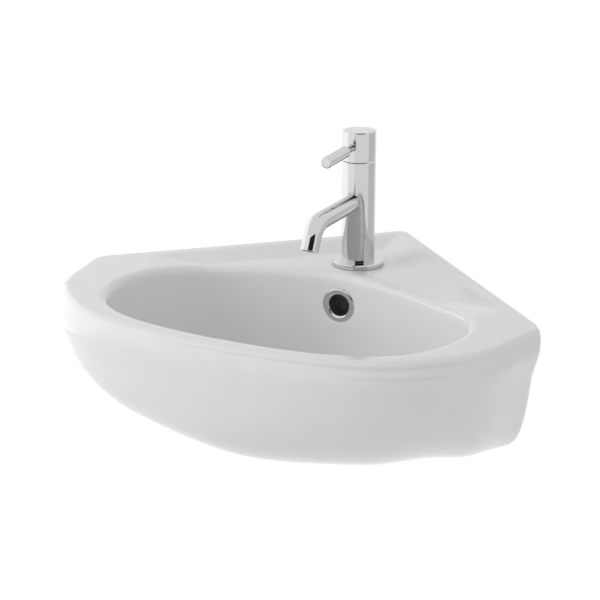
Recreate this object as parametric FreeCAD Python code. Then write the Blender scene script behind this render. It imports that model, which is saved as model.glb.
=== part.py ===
# Corner basin in glazed vitreous china with an overflow ring and a single lever mixer tap.
# Millimetres. The origin is the corner between the two walls, at rim level; the walls are the
# planes y = -x and y = x, the front of the basin faces -Y, and +Z is up.
import FreeCAD
import Part
import math
import os

os.makedirs("parts", exist_ok=True)

V = FreeCAD.Vector
X_AXIS = V(1, 0, 0)
Y_AXIS = V(0, 1, 0)
Z_AXIS = V(0, 0, 1)
ROOT_TWO = math.sqrt(2.0)

# ---- basin casting: outside ----
HALF_WIDTH = 225.5          # centre line to the end of a wall face
DEPTH = 383.5               # wall corner to the front of the rim
HEIGHT = 147.0              # rim to the underside of the waste boss
RIM_BAND = 18.0             # upright band below the rim's edge
RIM_ROUND = 7.0             # outer edge of the rim
END_ROUND = 8.0             # upright corner at the end of each wall face
WALL_TRIM = 0.4             # ground off each wall face so that it lies flat
APEX_ROUND = 7.0            # upright corner against the wall corner
SKIRT_HEIGHT = 122.0        # rim to the bottom edge of the wall skirts
SKIRT_DEPTH = 32.0          # how far a skirt's bottom edge comes out from the wall
# Rim outline on one side: (share of the half width, share of the way from wall end to front).
RIM_POINTS = (
    (1.0, 0.0), (0.96, 0.206), (0.902, 0.484), (0.793, 0.676), (0.626, 0.855), (0.43, 0.944), (0.0, 1.0),
)
# How much each rim point follows the end, the shoulder and the front of the casting as it narrows.
RIM_FOLLOWS = (
    (1.0, 0.0, 0.0), (0.7, 0.3, 0.0), (0.34, 0.66, 0.0), (0.0, 1.0, 0.0),
    (0.0, 0.76, 0.24), (0.0, 0.5, 0.5), (0.0, 0.0, 1.0),
)
# The casting's three sizes below the band: (even taper, how late it turns under, size at the
# bottom, early step in, swell just under the rim). A larger second value keeps the side upright
# for longer.
END_NARROWS = (0.088, 6.78, 0.42, 0.020, 0.0)
SHOULDER_NARROWS = (0.0, 2.30, 0.36, 0.0, 0.012)
FRONT_NARROWS = (0.035, 3.64, 0.46, 0.0, 0.0)
SWELL_ENDS = 0.16           # share of the height below the band over which the swell fades
BELLY_LEVELS = (0.0, 0.09, 0.20, 0.34, 0.48, 0.62, 0.74, 0.83, 0.90, 0.95, 0.985, 1.0)

# ---- basin casting: deck and bowl ----
DISH_DROP = 6.4             # tap ledge below the rim
DISH_INSET = 11.0           # level strip along each wall
DISH_SLOPE = 25.0           # width of the slope down to the ledge
DISH_HALF_WIDTH = 178.0     # reach of the dished deck to each side
DISH_END = 52.0             # length of the slope at each side
BOWL_BACK = 147.0           # wall corner to the bowl's back wall
RIM_FRONT_WIDTH = 21.5      # bowl's front wall to the front of the rim
BOWL_RIGHT = 169.5          # centre line to the bowl's right end
BOWL_LEFT = 157.5           # centre line to the bowl's left end
BOWL_DEPTH = 118.0          # rim to the bowl's floor
LIP_ROUND = 7.0
# Bowl outline: (share of that side's width, share of the way from back to front).
RIGHT_OUTLINE = (
    (0.0, 1.0), (0.295, 0.993), (0.59, 0.951), (0.85, 0.844), (0.962, 0.702), (1.0, 0.535),
    (0.956, 0.409), (0.826, 0.284), (0.59, 0.151), (0.324, 0.058), (0.0, 0.0),
)
LEFT_OUTLINE = (
    (0.349, 0.051), (0.641, 0.142), (0.838, 0.26), (0.946, 0.391), (1.0, 0.535), (0.971, 0.679),
    (0.876, 0.814), (0.622, 0.935), (0.314, 0.984),
)
# Bowl levels: (share of the depth, size of the outline there about the waste).
BOWL_LEVELS = ((0.07, 1.0), (0.34, 0.985), (0.59, 0.945), (0.78, 0.87), (0.915, 0.74), (1.0, 0.5))
ABOVE_RIM = 6.0             # cutters start this far above the rim

# ---- basin casting: underside ----
DECK_THICKNESS = 16.0       # china under the tap ledge
CHINA_WALL = 10.0           # china round the bowl
FLOOR_THICKNESS = 12.0      # china under the bowl's floor
WALL_PLATE = 12.0           # china against each wall
PLATE_START = 106.0         # centre line to the near end of each wall plate
PLATE_STEP = 18.0           # how far the gap between the wall plates narrows to the front
POCKET_HALF_WIDTH = 150.0   # service pocket behind the bowl
POCKET_FRONT = 190.0        # wall corner to the front of the service pocket
SIDE_POCKET_DEPTH = 105.0   # rim to the floor of the hollow at each end
SIDE_POCKET_REACH = 203.0   # centre line to the outer side of that hollow
SIDE_POCKET_START = 122.0   # centre line to its inner side
SIDE_POCKET_DRAFT = 23.0    # how far its outer side comes in at the floor
# Front corners of that hollow: (share of the reach across, share of the reach from the wall corner).
SIDE_POCKET_FRONT = ((1.0, 1.22), (0.93, 1.4))
SIDE_POCKET_INNER = 1.35    # its inner front corner's share of the reach from the wall corner
FIXING_ALONG = 245.0        # wall corner to each wall fixing hole, along the wall
FIXING_DEPTH = 60.0         # rim to the wall fixing holes
FIXING_HOLE_R = 7.0
BOSS_R = 33.0               # round the waste hole
WASTE_BACK = 222.0          # wall corner to the waste's axis
WASTE_HOLE_R = 23.0
SEAT_R = 34.0               # recess in the bowl's floor for the waste flange
SEAT_DROP = 3.0
SEAT_STEP = 0.5             # upright step round the seat
FALL_R = 46.0               # where the floor begins to fall to the seat

# ---- overflow ----
OVERFLOW_DEPTH = 36.5       # rim to the middle of the overflow
OVERFLOW_RING_R = 16.5
OVERFLOW_BORE_R = 10.3
OVERFLOW_HOLE_R = 12.0
OVERFLOW_RING_PROUD = 2.4
OVERFLOW_SLEEVE_WALL = 1.1
OVERFLOW_SLEEVE_LENGTH = 9.0
OVERFLOW_REACH = 6.0        # how far its seat is cut from the bowl's side
OVERFLOW_SINK = 0.3         # how far the seat lies behind the bowl's wall
CHANNEL_HALF_WIDTH = 12.5
CHANNEL_DEPTH = 9.0
CHANNEL_WALL = 6.0
CHANNEL_FLOOR = 5.0
CHANNEL_ROOF = 2.0          # left between the deck's underside and the channel's top
CHANNEL_BITE = 2.0          # how far the channel is let into the china round the bowl
CHANNEL_RUN_TOP = 126.0     # rim to the top of the channel's run under the bowl
CHANNEL_RUN_BOTTOM = 138.0

# ---- mixer tap, heights from the tap ledge ----
TAP_BACK = 107.8            # wall corner to the tap's axis
TAP_HOLE_R = 17.5
BODY_R = 15.6
BODY_TOP = 100.4
SPIGOT_R = 14.0
SPIGOT_DROP = 8.0
FLANGE_R = 24.7
FLANGE_TOP = 4.9
FLANGE_LIP_TOP = 2.2
SEAL_THICKNESS = 1.5
SEAL_INNER_R = 18.6
SEAL_WIDTH = 4.0
SEAL_PROUD = 0.3
SLIP = 0.05                 # radial clearance of turned parts that fit together
STUD_R = 4.0
STUD_OFFSET = 9.0           # stud behind the tap's axis
STUD_LENGTH = 56.0
STUD_ENGAGEMENT = 12.0
INLET_R = 5.0
INLET_OFFSET = 7.5
INLET_FORWARD = 2.5
INLET_DEPTH = 12.0
WATERWAY_R = 2.0
WATERWAY_SIDE = 5.0         # waterways, to each side of the tap's axis
GASKET_R = 25.0
GASKET_THICKNESS = 3.0
WASHER_THICKNESS = 2.5
HORSESHOE_FRONT = 15.0      # front edge of the horseshoe, from the tap's axis
HORSESHOE_GAP = 26.0        # slot for the two inlet tails
HORSESHOE_SLOT_END = 3.0    # end of that slot, behind the tap's axis
NUT_FLATS = 13.0
NUT_LENGTH = 18.0

# ---- spout ----
SPOUT_HEIGHT = 63.4
SPOUT_R = 8.2
SPOUT_WALL = 2.2
SPOUT_FALL = 2.0            # degrees below level
SPOUT_STRAIGHT = 76.0
SPOUT_BEND_R = 22.3
SPOUT_END_TILT = 25.0       # degrees the outlet leans forward of straight down
SPOUT_END = 11.0
SPOUT_ROOT = 8.0            # where the tube starts, from the tap's axis
OUTLET_WAY_R = 2.6
AERATOR_R = 6.6
AERATOR_LENGTH = 9.0
AERATOR_RECESS = 0.6
AERATOR_WALL = 1.0
AERATOR_LIP = 0.8           # lip that holds the insert
AERATOR_SEAL_THICKNESS = 1.2
AERATOR_HOLE_R = 0.5
AERATOR_RINGS = ((1.9, 6), (3.7, 12))

# ---- cartridge, heights from the tap ledge ----
CARTRIDGE_SEAT = 74.0
CARTRIDGE_R = 12.45
CARTRIDGE_HEIGHT = 19.0
CARTRIDGE_WALL = 1.2
CARTRIDGE_FLANGE = 1.0      # rim of the base plate
CARTRIDGE_FLOOR = 2.0
CARTRIDGE_LIP = 1.6
DISC_SEAL_R = 11.0
DISC_SEAL_THICKNESS = 1.5
FIXED_DISC_R = 10.8
FIXED_DISC_THICKNESS = 2.6
MOVING_DISC_R = 7.4
MOVING_DISC_THICKNESS = 5.0
DISC_GAP = 0.05
CAVITY_R = 3.0              # mixing hollow under the moving disc
CAVITY_BACK = 1.2
CAVITY_DEPTH = 1.2
CARRIER_R = 11.2
CARRIER_GAP = 0.1           # above the moving disc
CARRIER_NECK_R = 8.9
CARRIER_TOP = 102.0
CARRIER_SLOT_BACK = 6.6     # reach of the stem's slot, either way from the axis
RETAINER_R = 13.9
RETAINER_RING = 3.4
RETAINER_HEIGHT = 6.4
RETAINER_FLATS = 24.0
RETAINER_BORE_R = 9.2
PORT_R = 1.8
PORT_SIDE = 3.4
PORT_FORWARD = 4.0
PIVOT_HEIGHT = 95.0
PIN_R = 1.25
PIN_LENGTH = 16.0
STEM_HALF = 3.0
STEM_SHOULDER = 92.0        # lower end of the stem's square
STEM_ARM_R = 1.9
BALL_R = 2.2
BALL_DROP = 10.5            # ball below the pivot

# ---- lever ----
CAP_GAP = 0.8
CAP_TOP = 129.1
CAP_WALL = 2.4
CAP_CROWN = 3.5
CAP_BOSS_R = 7.0
CAP_BOSS_BOTTOM = 108.0
STEM_TOP = 120.0
CAP_RELIEF = 21.0           # degrees the back of the cap's lower edge rises, for the lift
LEVER_HEIGHT = 116.3        # lever's axis where it meets the tap's axis
LEVER_FALL = 4.0            # degrees below level
LEVER_STUB_R = 2.5
LEVER_SHOULDER = 8.6        # tap's axis to the step from stub to neck
NECK_R = 3.3
NECK_END = 30.0
GRIP_R = 5.4
GRIP_END = 68.4
EDGE_BREAK = 0.5            # softened edges of the polished parts

# ---- worked out from the above ----
BOWL_FRONT = DEPTH - RIM_FRONT_WIDTH
CHANNEL_FRONT = CHINA_WALL - BOWL_BACK - CHANNEL_BITE
LEDGE_Z = -DISH_DROP
DECK_UNDER_Z = LEDGE_Z - DECK_THICKNESS
FAR = 60.0                  # how far cutters run past the part
TAP_AXIS = V(0, -TAP_BACK, LEDGE_Z)
WASTE_AXIS = V(0, -WASTE_BACK, 0)
SEAT_Z = -BOWL_DEPTH - SEAT_DROP
BASE_TOP = CARTRIDGE_SEAT + CARTRIDGE_FLOOR
FIXED_DISC_BOTTOM = BASE_TOP + DISC_SEAL_THICKNESS
MOVING_DISC_BOTTOM = FIXED_DISC_BOTTOM + FIXED_DISC_THICKNESS + DISC_GAP
MOVING_DISC_TOP = MOVING_DISC_BOTTOM + MOVING_DISC_THICKNESS
BALL_HEIGHT = PIVOT_HEIGHT - BALL_DROP
CARTRIDGE_TOP = CARTRIDGE_SEAT + CARTRIDGE_HEIGHT
CAP_BOTTOM = BODY_TOP + CAP_GAP


def save(name, shape):
    shape.exportStep("parts/" + name + ".step")
    print(name, shape.isValid(), len(shape.Solids), round(shape.Volume / 1000.0, 2), "cm3")


# ---------------------------------------------------------------- simple shapes
def rod(radius, bottom, top, at=V(0, 0, 0)):
    return Part.makeCylinder(radius, top - bottom, at + V(0, 0, bottom), Z_AXIS)


def tube(outer, inner, bottom, top, at=V(0, 0, 0)):
    return rod(outer, bottom, top, at).cut(rod(inner, bottom - 1, top + 1, at))


def block(low, high):
    return Part.makeBox(high.x - low.x, high.y - low.y, high.z - low.z, low)


def polygon(points, z):
    corners = [V(x, y, z) for x, y in points]
    return Part.Wire(Part.makePolygon(corners + corners[:1]))


def prism(points, bottom, top):
    return Part.Face(polygon(points, bottom)).extrude(V(0, 0, top - bottom))


def hexagon(flats, bottom, top, at):
    radius = flats / math.sqrt(3.0)
    corners = []
    for step in range(6):
        angle = math.radians(60 * step)
        corners.append((at.x + radius * math.cos(angle), at.y + radius * math.sin(angle)))
    return prism(corners, at.z + bottom, at.z + top)


def turned(profile, at=V(0, 0, 0)):
    points = [V(r, 0, z) for r, z in profile]
    face = Part.Face(Part.Wire(Part.makePolygon(points + points[:1])))
    solid = face.revolve(V(0, 0, 0), Z_AXIS, 360)
    solid.translate(at)
    return solid


def along(fall):
    """Direction towards the front, a few degrees below level."""
    return V(0, -math.cos(math.radians(fall)), -math.sin(math.radians(fall)))


def aimed(shape, at, axis):
    """Moves a shape built about the Z axis so that the axis starts at a point and runs another way."""
    moved = shape.copy()
    moved.Placement = FreeCAD.Placement(at, FreeCAD.Rotation(Z_AXIS, axis))
    return moved


def both_sides(points):
    return [(-x, y) for x, y in points]


# ---------------------------------------------------------------- basin casting
def bezier(*poles):
    curve = Part.BezierCurve()
    curve.setPoles(list(poles))
    return curve.toShape()


def rim_curve(end, shoulder, front, z):
    points = []
    for (across, forward), (by_end, by_shoulder, by_front) in zip(RIM_POINTS, RIM_FOLLOWS):
        size = by_end * end + by_shoulder * shoulder + by_front * front
        y = -HALF_WIDTH - (DEPTH - HALF_WIDTH) * forward
        points.append(V(HALF_WIDTH * across * size, y * size, z))
    points += [V(-p.x, p.y, p.z) for p in reversed(points[:-1])]
    curve = Part.BSplineCurve()
    curve.interpolate(points)
    return curve


def casting_section(end, shoulder, front, z):
    """Closed outline at one level: the bow, two straight wall faces and three round corners."""
    bow = rim_curve(end, shoulder, front, z)
    first = bow.parameterAtDistance(END_ROUND, bow.FirstParameter)
    bow.segment(first, bow.FirstParameter + bow.LastParameter - first)
    start = bow.StartPoint
    along = bow.tangent(bow.FirstParameter)[0]
    reach = (start.x + start.y) / (along.x + along.y)
    corner = start - along * reach
    on_wall = corner * (1 - END_ROUND / corner.Length)
    near = V(APEX_ROUND / ROOT_TWO, -APEX_ROUND / ROOT_TWO, 0)
    level = V(0, 0, z)
    corner = V(corner.x, corner.y, z)
    on_wall = V(on_wall.x, on_wall.y, z)
    near = near + level

    def left(p):
        return V(-p.x, p.y, p.z)

    return Part.Wire([
        bow.toShape(),
        bezier(left(start), left(corner), left(on_wall)),
        Part.makeLine(left(on_wall), left(near)),
        bezier(left(near), level, near),
        Part.makeLine(near, on_wall),
        bezier(on_wall, corner, start),
    ])


def narrowed(share, taper, late, bottom, step, swell):
    """Size of one direction of the casting at a share of the height below the band."""
    early = min(1.0, 4 * share)
    stepped = step * early * early * (3 - 2 * early)
    swollen = swell * max(0.0, 1 - share / SWELL_ENDS)
    turn = 1 - (1 - share ** late) ** 0.5
    return 1 - stepped + swollen - taper * share - (1 - step - taper - bottom) * turn


def casting_outside():
    edge = []
    for angle in (0, 30, 60, 90):
        inset = RIM_ROUND * (1 - math.sin(math.radians(angle)))
        depth = RIM_ROUND * (1 - math.cos(math.radians(angle)))
        size = 1 - inset / DEPTH
        edge.append(casting_section(size, size, size, -depth))
    side = [casting_section(1, 1, 1, -RIM_ROUND)]
    for share in BELLY_LEVELS:
        sizes = [narrowed(share, *law) for law in (END_NARROWS, SHOULDER_NARROWS, FRONT_NARROWS)]
        side.append(casting_section(*sizes, -RIM_BAND - share * (HEIGHT - RIM_BAND)))
    outside = Part.makeLoft(edge, True, True).fuse(Part.makeLoft(side, True, False))
    outside.translate(V(0, WALL_TRIM * ROOT_TWO, 0))
    far = HALF_WIDTH + FAR
    walls = prism([(0, 0), (far, -far), (far, far), (-far, far), (-far, -far)], -HEIGHT - FAR, FAR)
    boss = rod(BOSS_R, -HEIGHT, -BOWL_DEPTH, WASTE_AXIS)
    return outside.cut(walls).fuse(boss)


def bowl_outline(grow):
    """The bowl's outline from the middle of its front, anticlockwise, moved outwards by a distance."""
    length = BOWL_FRONT - BOWL_BACK
    plain = [(BOWL_RIGHT * across, -BOWL_BACK - length * forward) for across, forward in RIGHT_OUTLINE]
    plain += [(-BOWL_LEFT * across, -BOWL_BACK - length * forward) for across, forward in LEFT_OUTLINE]
    grown = []
    for index, (x, y) in enumerate(plain):
        before = plain[index - 1]
        after = plain[(index + 1) % len(plain)]
        dx, dy = after[0] - before[0], after[1] - before[1]
        run = math.hypot(dx, dy)
        grown.append((x + dy / run * grow, y - dx / run * grow))
    return grown


def bowl_section(size, z, grow):
    outline = bowl_outline(grow / size)
    points = [V(x * size, -WASTE_BACK + (y + WASTE_BACK) * size, z) for x, y in outline]
    curve = Part.BSplineCurve()
    curve.interpolate(Points=points, PeriodicFlag=True)
    return Part.Wire([curve.toShape()])


def bowl_solid(grow, floor):
    sections = [bowl_section(1, ABOVE_RIM, grow)]
    for share, size in BOWL_LEVELS:
        sections.append(bowl_section(size, -share * floor, grow))
    return Part.makeLoft(sections, True, False)


def deck_dish():
    def outline(inset, half, z):
        line = inset * ROOT_TWO
        front = -(BOWL_BACK + BOWL_FRONT) / 2
        right = [(half, -half - line), (half - 2 * line, front)]
        return polygon([(0, -line)] + right + both_sides(right[::-1]), z)

    top = outline(DISH_INSET, DISH_HALF_WIDTH, 0)
    ledge = outline(DISH_INSET + DISH_SLOPE, DISH_HALF_WIDTH - DISH_END, LEDGE_Z)
    return Part.makeLoft([top, ledge], True, True)


def service_pocket(bowl_outside):
    """Room behind the bowl for the tap's tails and the waste, open at the back and below."""
    line = WALL_PLATE * ROOT_TWO
    low = -HEIGHT - FAR
    half = POCKET_HALF_WIDTH
    right = [(half, -half - line), (half, -POCKET_FRONT)]
    room = prism([(0, -line)] + right + both_sides(right[::-1]), low, DECK_UNDER_Z)
    start = PLATE_START
    inner = start - PLATE_STEP
    right = [(start, FAR), (start, -start - line - 1), (inner, -inner - line - 1)]
    back = prism(right + both_sides(right[::-1]), low, DECK_UNDER_Z)
    return room.fuse(back).cut(bowl_outside)


def side_pocket(bowl_outside):
    """Hollow between the bowl and the right-hand end of the casting."""
    line = WALL_PLATE * ROOT_TWO

    def outline(reach, z):
        inner = SIDE_POCKET_START * reach / SIDE_POCKET_REACH
        points = [(inner, -inner - line), (reach, -reach - line)]
        points += [(across * reach, -forward * reach) for across, forward in SIDE_POCKET_FRONT]
        return polygon(points + [(inner, -SIDE_POCKET_INNER * reach)], z)

    top = outline(SIDE_POCKET_REACH, DECK_UNDER_Z)
    floor = outline(SIDE_POCKET_REACH - SIDE_POCKET_DRAFT, -SIDE_POCKET_DEPTH)
    return Part.makeLoft([top, floor], True, True).cut(bowl_outside)


def skirt_trim():
    """Everything below the right-hand skirt's bottom edge, against the wall."""
    line = SKIRT_DEPTH * ROOT_TWO
    far = HALF_WIDTH + FAR
    return prism([(0, 1), (far, 1 - far), (far, -far - line), (0, -line)], -HEIGHT - FAR, -SKIRT_HEIGHT)


def mirrored(shape):
    return shape.mirror(V(0, 0, 0), X_AXIS)


def overflow_rib():
    """China round the overflow channel, down the bowl's back and forward to the waste."""
    back = CHANNEL_FRONT + CHANNEL_DEPTH + CHANNEL_WALL
    half = CHANNEL_HALF_WIDTH + CHANNEL_WALL
    low = -CHANNEL_RUN_BOTTOM - CHANNEL_FLOOR
    rib = block(V(-half, -BOWL_BACK - 1, low), V(half, back, DECK_UNDER_Z + 1))
    duct = block(V(-half, -WASTE_BACK, low), V(half, back, -CHANNEL_RUN_TOP + CHANNEL_WALL))
    return rib.fuse(duct)


def overflow_channel():
    half = CHANNEL_HALF_WIDTH
    back = CHANNEL_FRONT + CHANNEL_DEPTH
    drop = block(V(-half, CHANNEL_FRONT, -CHANNEL_RUN_BOTTOM), V(half, back, DECK_UNDER_Z - CHANNEL_ROOF))
    run = block(V(-half, -WASTE_BACK, -CHANNEL_RUN_BOTTOM), V(half, CHANNEL_FRONT + 1, -CHANNEL_RUN_TOP))
    return drop.fuse(run)


def overflow_hole():
    start = overflow_seat_y() - OVERFLOW_REACH
    middle = V(0, start, -OVERFLOW_DEPTH)
    seat = Part.makeCylinder(OVERFLOW_RING_R + SLIP, OVERFLOW_REACH, middle, Y_AXIS)
    return seat.fuse(Part.makeCylinder(OVERFLOW_HOLE_R, OVERFLOW_REACH + CHINA_WALL, middle, Y_AXIS))


def overflow_seat_y():
    """Flat seat for the overflow ring, cut just into the bowl's back wall."""
    share_top, size_top = BOWL_LEVELS[0]
    share_low, size_low = BOWL_LEVELS[1]
    share = (OVERFLOW_DEPTH - OVERFLOW_RING_R) / BOWL_DEPTH
    part_way = min(1.0, max(0.0, (share - share_top) / (share_low - share_top)))
    size = size_top + (size_low - size_top) * part_way
    return -WASTE_BACK + (WASTE_BACK - BOWL_BACK) * size + OVERFLOW_SINK


def fixing_hole():
    middle = V(FIXING_ALONG / ROOT_TWO, -FIXING_ALONG / ROOT_TWO, -FIXING_DEPTH)
    outward = V(1 / ROOT_TWO, 1 / ROOT_TWO, 0)
    return Part.makeCylinder(FIXING_HOLE_R, 2 * WALL_PLATE, middle - outward * (1.5 * WALL_PLATE), outward)


def waste_seat():
    recess = rod(SEAT_R, SEAT_Z, ABOVE_RIM - BOWL_DEPTH, WASTE_AXIS)
    fall = Part.makeCone(SEAT_R, FALL_R, SEAT_DROP, WASTE_AXIS + V(0, 0, SEAT_Z + SEAT_STEP), Z_AXIS)
    hole = rod(WASTE_HOLE_R, -HEIGHT - FAR, 0, WASTE_AXIS)
    return recess.fuse(fall).fuse(hole)


def rounded_lip(body, bowl):
    """Rounds the edge where the bowl's side breaks through the deck."""
    side = max(bowl.Faces, key=lambda face: face.Area)
    lip = []
    for edge in body.Edges:
        middle = edge.valueAt((edge.FirstParameter + edge.LastParameter) / 2)
        if middle.z < LEDGE_Z - 0.1 or middle.z > 0.1:
            continue
        if side.distToShape(Part.Vertex(middle))[0] < 0.01:
            lip.append(edge)
    return body.makeFillet(LIP_ROUND, lip)


def make_basin_body():
    bowl = bowl_solid(0, BOWL_DEPTH)
    bowl_outside = bowl_solid(CHINA_WALL, BOWL_DEPTH + FLOOR_THICKNESS)
    body = casting_outside().cut(deck_dish())
    body = body.cut(bowl)
    body = rounded_lip(body, bowl)
    trim = skirt_trim()
    hollow = side_pocket(bowl_outside)
    body = body.cut(service_pocket(bowl_outside))
    for piece in (trim, hollow):
        body = body.cut(piece).cut(mirrored(piece))
    body = body.fuse(overflow_rib().cut(bowl))
    body = body.cut(overflow_channel()).cut(overflow_hole())
    body = body.cut(waste_seat())
    hole = fixing_hole()
    body = body.cut(hole).cut(mirrored(hole))
    return body.cut(rod(TAP_HOLE_R, -HEIGHT, ABOVE_RIM, V(0, -TAP_BACK, 0)))


# ---------------------------------------------------------------- overflow ring
def make_overflow_ring():
    flange = OVERFLOW_RING_PROUD
    sleeve = OVERFLOW_BORE_R + OVERFLOW_SLEEVE_WALL
    edge = OVERFLOW_RING_PROUD / 2
    profile = [
        (OVERFLOW_BORE_R, -OVERFLOW_SLEEVE_LENGTH), (sleeve, -OVERFLOW_SLEEVE_LENGTH), (sleeve, 0),
        (OVERFLOW_RING_R, 0), (OVERFLOW_RING_R, edge), (OVERFLOW_RING_R - 0.4 * edge, flange - 0.3 * edge),
        (OVERFLOW_RING_R - edge, flange), (sleeve, flange), (OVERFLOW_BORE_R, flange - edge),
    ]
    return aimed(turned(profile), V(0, overflow_seat_y(), -OVERFLOW_DEPTH), V(0, -1, 0))


# ---------------------------------------------------------------- tap: base and body
def make_base_seal():
    return tube(SEAL_INNER_R + SEAL_WIDTH, SEAL_INNER_R, 0, SEAL_THICKNESS, TAP_AXIS)


def make_base_flange():
    groove_in = SEAL_INNER_R - SLIP
    groove_out = SEAL_INNER_R + SEAL_WIDTH + SLIP
    edge = 3 * EDGE_BREAK
    return turned([
        (SPIGOT_R + SLIP, SEAL_PROUD), (groove_in, SEAL_PROUD), (groove_in, SEAL_THICKNESS),
        (groove_out, SEAL_THICKNESS), (groove_out, SEAL_PROUD), (FLANGE_R, SEAL_PROUD),
        (FLANGE_R, FLANGE_TOP - edge), (FLANGE_R - 0.3 * edge, FLANGE_TOP - 0.3 * edge),
        (FLANGE_R - edge, FLANGE_TOP), (BODY_R + SLIP, FLANGE_TOP), (BODY_R + SLIP, FLANGE_LIP_TOP),
        (SPIGOT_R + SLIP, FLANGE_LIP_TOP),
    ], TAP_AXIS)


def spout_point(distance):
    return TAP_AXIS + V(0, 0, SPOUT_HEIGHT) + along(SPOUT_FALL) * distance


def tap_waterways():
    ways = Part.makeCylinder(OUTLET_WAY_R, SPOUT_ROOT + 1, spout_point(0), along(SPOUT_FALL))
    ways = ways.fuse(rod(OUTLET_WAY_R, SPOUT_HEIGHT, CARTRIDGE_SEAT + 1, TAP_AXIS))
    for side in (-1, 1):
        inlet = V(side * INLET_OFFSET, -INLET_FORWARD, 0)
        ways = ways.fuse(rod(INLET_R, -SPIGOT_DROP - 1, INLET_DEPTH - SPIGOT_DROP, TAP_AXIS + inlet))
        way = V(side * WATERWAY_SIDE, -INLET_FORWARD, 0)
        ways = ways.fuse(rod(WATERWAY_R, -SPIGOT_DROP, CARTRIDGE_SEAT + 1, TAP_AXIS + way))
    return ways


def make_tap_body():
    pocket = CARTRIDGE_R + SLIP
    thread = RETAINER_R + SLIP
    body = turned([
        (0, -SPIGOT_DROP), (SPIGOT_R, -SPIGOT_DROP), (SPIGOT_R, FLANGE_LIP_TOP), (BODY_R, FLANGE_LIP_TOP),
        (BODY_R, BODY_TOP - EDGE_BREAK), (BODY_R - EDGE_BREAK, BODY_TOP), (thread, BODY_TOP),
        (thread, CARTRIDGE_TOP), (pocket, CARTRIDGE_TOP), (pocket, CARTRIDGE_SEAT), (0, CARTRIDGE_SEAT),
    ], TAP_AXIS)
    socket = Part.makeCylinder(SPOUT_R + SLIP, FAR, spout_point(SPOUT_ROOT), along(SPOUT_FALL))
    stud = V(0, STUD_OFFSET, 0)
    stud_hole = rod(STUD_R + SLIP, -SPIGOT_DROP - 1, STUD_ENGAGEMENT - SPIGOT_DROP, TAP_AXIS + stud)
    return body.cut(socket).cut(tap_waterways()).cut(stud_hole)


# ---------------------------------------------------------------- tap: spout
def spout_bend(angle):
    """Point and direction on the spout's middle line after part of its bend."""
    ahead = along(SPOUT_FALL)
    down = V(0, -ahead.z, ahead.y)
    turn = math.radians(angle)
    centre = spout_point(SPOUT_STRAIGHT) + down * SPOUT_BEND_R
    point = centre + (ahead * math.sin(turn) - down * math.cos(turn)) * SPOUT_BEND_R
    return point, ahead * math.cos(turn) + down * math.sin(turn)


def spout_end():
    """Middle of the spout's outlet, and the way out."""
    point, ahead = spout_bend(90 - SPOUT_END_TILT - SPOUT_FALL)
    return point + ahead * SPOUT_END, ahead


def spout_core(radius, start, reach):
    """Round bar along the spout's middle line."""
    bend_angle = 90 - SPOUT_END_TILT - SPOUT_FALL
    first = spout_point(start)
    middle = spout_bend(bend_angle / 2)[0]
    last, ahead = spout_bend(bend_angle)
    path = Part.Wire([
        Part.makeLine(first, spout_point(SPOUT_STRAIGHT)),
        Part.Arc(spout_point(SPOUT_STRAIGHT), middle, last).toShape(),
        Part.makeLine(last, last + ahead * reach),
    ])
    ring = Part.Wire(Part.makeCircle(radius, first, along(SPOUT_FALL)))
    return path.makePipeShell([ring], True, True)


def make_spout():
    end, ahead = spout_end()
    depth = AERATOR_RECESS + AERATOR_LENGTH + AERATOR_SEAL_THICKNESS
    pocket = Part.makeCylinder(AERATOR_R + SLIP, depth + 1, end - ahead * depth, ahead)
    bar = spout_core(SPOUT_R, SPOUT_ROOT, SPOUT_END)
    return bar.cut(spout_core(SPOUT_R - SPOUT_WALL, SPOUT_ROOT - 1, SPOUT_END + 1)).cut(pocket)


def at_outlet(shape, distance):
    """Places a shape built about the Z axis, Z pointing out, behind the spout's outlet."""
    end, ahead = spout_end()
    return aimed(shape, end - ahead * distance, ahead)


def make_aerator_housing():
    inner = AERATOR_R - AERATOR_WALL
    profile = [
        (inner, 0), (AERATOR_R, 0), (AERATOR_R, AERATOR_LENGTH), (inner - AERATOR_LIP, AERATOR_LENGTH),
        (inner - AERATOR_LIP, AERATOR_LENGTH - AERATOR_LIP), (inner, AERATOR_LENGTH - AERATOR_LIP),
    ]
    return at_outlet(turned(profile), AERATOR_RECESS + AERATOR_LENGTH)


def make_aerator_insert():
    length = AERATOR_LENGTH - AERATOR_LIP
    insert = rod(AERATOR_R - AERATOR_WALL - SLIP, 0, length)
    holes = rod(AERATOR_HOLE_R, -1, length + 1)
    for radius, count in AERATOR_RINGS:
        for step in range(count):
            angle = 2 * math.pi * step / count
            place = V(radius * math.cos(angle), radius * math.sin(angle), 0)
            holes = holes.fuse(rod(AERATOR_HOLE_R, -1, length + 1, place))
    return at_outlet(insert.cut(holes), AERATOR_RECESS + AERATOR_LENGTH)


def make_aerator_seal():
    ring = tube(AERATOR_R - SLIP, AERATOR_R - 2 * AERATOR_WALL, 0, AERATOR_SEAL_THICKNESS)
    return at_outlet(ring, AERATOR_RECESS + AERATOR_LENGTH + AERATOR_SEAL_THICKNESS)


# ---------------------------------------------------------------- tap: cartridge
def ports(bottom, top):
    """Hot, cold and mixed ways through the flat parts of the cartridge."""
    ways = rod(OUTLET_WAY_R, bottom - 1, top + 1, TAP_AXIS)
    for side in (-1, 1):
        place = TAP_AXIS + V(side * PORT_SIDE, -PORT_FORWARD, 0)
        ways = ways.fuse(rod(PORT_R, bottom - 1, top + 1, place))
    return ways


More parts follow.
